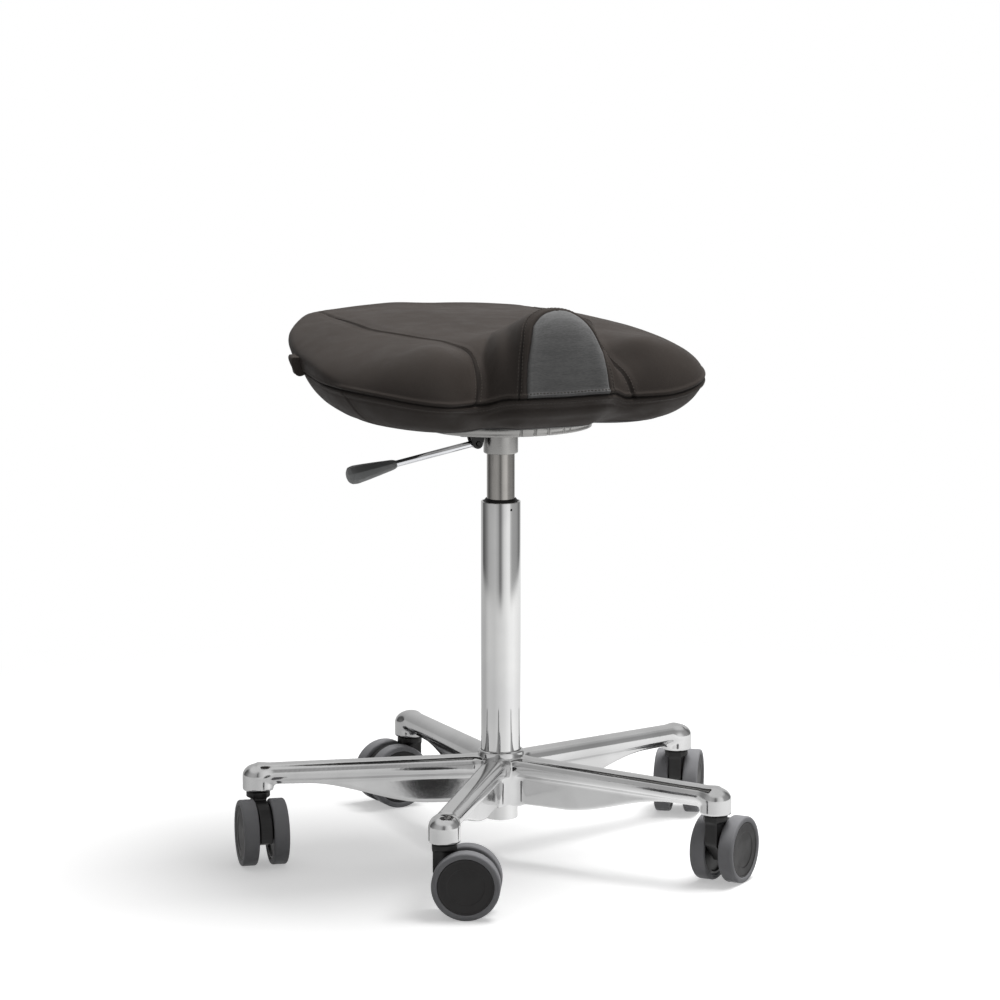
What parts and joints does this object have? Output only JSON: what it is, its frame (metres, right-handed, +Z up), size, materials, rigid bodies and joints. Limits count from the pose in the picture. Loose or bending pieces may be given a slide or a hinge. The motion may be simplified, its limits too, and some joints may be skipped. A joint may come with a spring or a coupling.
{
  "type": "saddle stool",
  "caption": "Height-adjustable saddle stool: padded leather saddle with a raised front pommel on a gas-lift column, side height lever, polished star base on twin-wheel castors.",
  "frame": {"origin": "on the floor, under the axis of the gas-lift column", "axes": "+Z up along the column; the sitter faces -Y, over the pommel; +X is to the sitter's left hand"},
  "size_m": [0.5452, 0.5102, 0.5701],
  "materials": {
    "polished_aluminium": "polished",
    "chromed_steel": "polished",
    "dark_steel": "satin",
    "plain_steel": "satin",
    "black_plastic": "satin",
    "grip_plastic": "matte",
    "wheel_plastic": "matte",
    "black_rubber": "matte",
    "grey_tyre": "matte",
    "brown_leather": "satin"
  },
  "bodies": {
    "base": {"base_star": "polished_aluminium", "column_tube": "chromed_steel", "guide_bush": "black_plastic", "bearing_lower_race": "plain_steel", "bearing_cage": "plain_steel", "castor_1_stem": "plain_steel", "castor_2_stem": "plain_steel", "castor_3_stem": "plain_steel", "castor_4_stem": "plain_steel", "castor_5_stem": "plain_steel"},
    "rod": {"bearing_upper_race": "plain_steel", "piston_rod": "plain_steel", "piston_ring": "black_plastic", "rubber_buffer": "black_rubber", "retaining_clip": "plain_steel"},
    "seat": {"gas_cylinder": "dark_steel", "seat_plate": "polished_aluminium", "seat_screw_1": "plain_steel", "seat_screw_2": "plain_steel", "seat_screw_3": "plain_steel", "seat_screw_4": "plain_steel", "lever_hanger": "black_plastic", "lever_pin": "plain_steel", "seat_shell": "black_plastic", "seat_cushion": "brown_leather"},
    "lever": {"release_lever": "chromed_steel", "lever_grip": "grip_plastic"},
    "valve": {"valve_pin": "plain_steel"},
    "castor_1": {"castor_1_housing": "black_plastic", "castor_1_axle": "plain_steel"},
    "castor_1_left_wheel": {"castor_1_left_disc": "wheel_plastic", "castor_1_left_tyre": "grey_tyre"},
    "castor_1_right_wheel": {"castor_1_right_disc": "wheel_plastic", "castor_1_right_tyre": "grey_tyre"},
    "castor_2": {"castor_2_housing": "black_plastic", "castor_2_axle": "plain_steel"},
    "castor_2_left_wheel": {"castor_2_left_disc": "wheel_plastic", "castor_2_left_tyre": "grey_tyre"},
    "castor_2_right_wheel": {"castor_2_right_disc": "wheel_plastic", "castor_2_right_tyre": "grey_tyre"},
    "castor_3": {"castor_3_housing": "black_plastic", "castor_3_axle": "plain_steel"},
    "castor_3_left_wheel": {"castor_3_left_disc": "wheel_plastic", "castor_3_left_tyre": "grey_tyre"},
    "castor_3_right_wheel": {"castor_3_right_disc": "wheel_plastic", "castor_3_right_tyre": "grey_tyre"},
    "castor_4": {"castor_4_housing": "black_plastic", "castor_4_axle": "plain_steel"},
    "castor_4_left_wheel": {"castor_4_left_disc": "wheel_plastic", "castor_4_left_tyre": "grey_tyre"},
    "castor_4_right_wheel": {"castor_4_right_disc": "wheel_plastic", "castor_4_right_tyre": "grey_tyre"},
    "castor_5": {"castor_5_housing": "black_plastic", "castor_5_axle": "plain_steel"},
    "castor_5_left_wheel": {"castor_5_left_disc": "wheel_plastic", "castor_5_left_tyre": "grey_tyre"},
    "castor_5_right_wheel": {"castor_5_right_disc": "wheel_plastic", "castor_5_right_tyre": "grey_tyre"}
  },
  "joints": [
    {"name": "seat_swivel", "type": "hinge", "parent": "base", "child": "rod", "pos_m": [0, 0, 0.05], "axis": [0, 0, 1], "continuous": true},
    {"name": "height_lift", "type": "slide", "parent": "rod", "child": "seat", "axis": [0, 0, 1], "range_m": [0, 0.19]},
    {"name": "release_lever", "type": "hinge", "parent": "seat", "child": "lever", "pos_m": [-0.027, 0, 0.4225], "axis": [0, 1, 0], "range_deg": [0, 6], "stiffness_Nm_per_rad": 2, "springref_deg": -2.86},
    {"name": "valve_press", "type": "slide", "parent": "seat", "child": "valve", "axis": [0, 0, -1], "range_m": [0, 0.00315]},
    {"name": "castor_1_swivel", "type": "hinge", "parent": "base", "child": "castor_1", "pos_m": [0, 0.245, 0.065], "axis": [0, 0, 1], "continuous": true},
    {"name": "castor_1_left_spin", "type": "hinge", "parent": "castor_1", "child": "castor_1_left_wheel", "pos_m": [-0.02141, 0.24301, 0.0332], "axis": [0.0924, -0.9957, 0], "continuous": true},
    {"name": "castor_1_right_spin", "type": "hinge", "parent": "castor_1", "child": "castor_1_right_wheel", "pos_m": [-0.02141, 0.24301, 0.0332], "axis": [0.0924, -0.9957, 0], "continuous": true},
    {"name": "castor_2_swivel", "type": "hinge", "parent": "base", "child": "castor_2", "pos_m": [-0.23301, 0.07571, 0.065], "axis": [0, 0, 1], "continuous": true},
    {"name": "castor_2_left_spin", "type": "hinge", "parent": "castor_2", "child": "castor_2_left_wheel", "pos_m": [-0.23685, 0.05456, 0.0332], "axis": [0.9839, -0.1788, 0], "continuous": true},
    {"name": "castor_2_right_spin", "type": "hinge", "parent": "castor_2", "child": "castor_2_right_wheel", "pos_m": [-0.23685, 0.05456, 0.0332], "axis": [0.9839, -0.1788, 0], "continuous": true},
    {"name": "castor_3_swivel", "type": "hinge", "parent": "base", "child": "castor_3", "pos_m": [-0.14401, -0.19821, 0.065], "axis": [0, 0, 1], "continuous": true},
    {"name": "castor_3_left_spin", "type": "hinge", "parent": "castor_3", "child": "castor_3_left_wheel", "pos_m": [-0.12473, -0.20774, 0.0332], "axis": [0.4431, 0.8965, 0], "continuous": true},
    {"name": "castor_3_right_spin", "type": "hinge", "parent": "castor_3", "child": "castor_3_right_wheel", "pos_m": [-0.12473, -0.20774, 0.0332], "axis": [0.4431, 0.8965, 0], "continuous": true},
    {"name": "castor_4_swivel", "type": "hinge", "parent": "base", "child": "castor_4", "pos_m": [0.14401, -0.19821, 0.065], "axis": [0, 0, 1], "continuous": true},
    {"name": "castor_4_left_spin", "type": "hinge", "parent": "castor_4", "child": "castor_4_left_wheel", "pos_m": [0.16079, -0.18477, 0.0332], "axis": [-0.6252, 0.7804, 0], "continuous": true},
    {"name": "castor_4_right_spin", "type": "hinge", "parent": "castor_4", "child": "castor_4_right_wheel", "pos_m": [0.16079, -0.18477, 0.0332], "axis": [-0.6252, 0.7804, 0], "continuous": true},
    {"name": "castor_5_swivel", "type": "hinge", "parent": "base", "child": "castor_5", "pos_m": [0.23301, 0.07571, 0.065], "axis": [0, 0, 1], "continuous": true},
    {"name": "castor_5_left_spin", "type": "hinge", "parent": "castor_5", "child": "castor_5_left_wheel", "pos_m": [0.24481, 0.09368, 0.0332], "axis": [-0.8358, 0.549, 0], "continuous": true},
    {"name": "castor_5_right_spin", "type": "hinge", "parent": "castor_5", "child": "castor_5_right_wheel", "pos_m": [0.24481, 0.09368, 0.0332], "axis": [-0.8358, 0.549, 0], "continuous": true}
  ],
  "couplings": [
    {"joint": "valve_press", "follows": "release_lever", "m_per_rad": 0.03}
  ]
}
